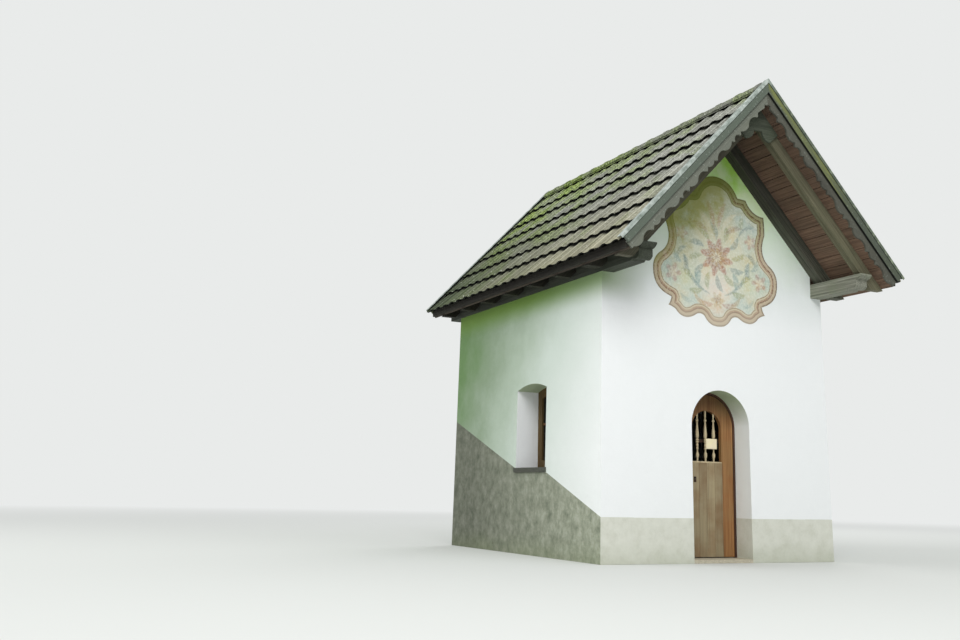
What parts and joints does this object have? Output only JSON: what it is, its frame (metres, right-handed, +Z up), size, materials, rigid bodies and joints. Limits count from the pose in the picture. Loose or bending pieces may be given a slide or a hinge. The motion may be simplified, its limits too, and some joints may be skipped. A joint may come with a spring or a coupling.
{
  "type": "small chapel",
  "caption": "Small roadside chapel with plastered walls, a round-headed door with a turned grille, side windows and a steep tiled roof with scalloped boards.",
  "frame": {"origin": "on the ground, under the middle of the roof", "axes": "+Z up; -Y is the front with the door; +X is to the right of someone who faces the door"},
  "size_m": [3.5428, 4.474, 4.7779],
  "materials": {
    "lime_plaster": "rough limewash with a green tint under the roof",
    "plinth_render": "rough grey render, streaked and damp",
    "floor_stone": "worn stone",
    "sill_stone": "dark weathered stone",
    "frame_wood": "dark red-brown, weathered",
    "door_wood": "worn varnish over grey boards",
    "turned_wood": "pale turned wood",
    "dark_iron": "dark, slightly rusted",
    "window_wood": "brown stained wood",
    "window_glass": "plain glass with a dark room behind it",
    "old_timber": "old timber, grey-green",
    "sheathing_boards": "rough boards, reddish brown",
    "clay_tiles": "weathered interlocking clay tiles with moss",
    "fascia_boards": "faded paint, green with algae",
    "sheet_metal": "folded sheet metal, pale grey"
  },
  "bodies": {
    "chapel": {"plinth_front_left": "plinth_render", "plinth_front_right": "plinth_render", "plinth_left": "plinth_render", "plinth_right": "plinth_render", "plinth_back": "plinth_render", "front_wall_left": "lime_plaster", "front_wall_right": "lime_plaster", "front_wall_over_door": "lime_plaster", "left_wall": "lime_plaster", "right_wall": "lime_plaster", "back_wall": "lime_plaster", "front_gable": "lime_plaster", "back_gable": "lime_plaster", "floor_slab": "floor_stone", "threshold": "floor_stone", "door_frame": "frame_wood", "hinge_pins": "dark_iron", "window_frames": "window_wood", "window_glass": "window_glass", "window_sills": "sill_stone", "wall_plate_left": "old_timber", "wall_plate_right": "old_timber", "rafters_left": "old_timber", "rafters_right": "old_timber", "flying_rafter_left": "old_timber", "flying_rafter_right": "old_timber", "apex_board": "old_timber", "sheathing_left": "sheathing_boards", "sheathing_right": "sheathing_boards", "tiles_left": "clay_tiles", "tiles_right": "clay_tiles", "ridge_tiles": "clay_tiles", "front_fascia_left": "fascia_boards", "front_fascia_right": "fascia_boards", "bargeboard_left": "fascia_boards", "bargeboard_right": "fascia_boards", "front_caps": "sheet_metal", "back_fascias": "fascia_boards", "back_caps": "sheet_metal", "eave_boards": "fascia_boards"},
    "door": {"door_leaf": "door_wood", "door_boards": "door_wood", "door_grille": "turned_wood", "door_lock": "dark_iron", "door_hinges": "dark_iron"}
  },
  "joints": [
    {"name": "door_hinge", "type": "hinge", "parent": "chapel", "child": "door", "pos_m": [0.341, -1.116, 0.775], "axis": [0, 0, -1], "range_deg": [0, 95]}
  ]
}
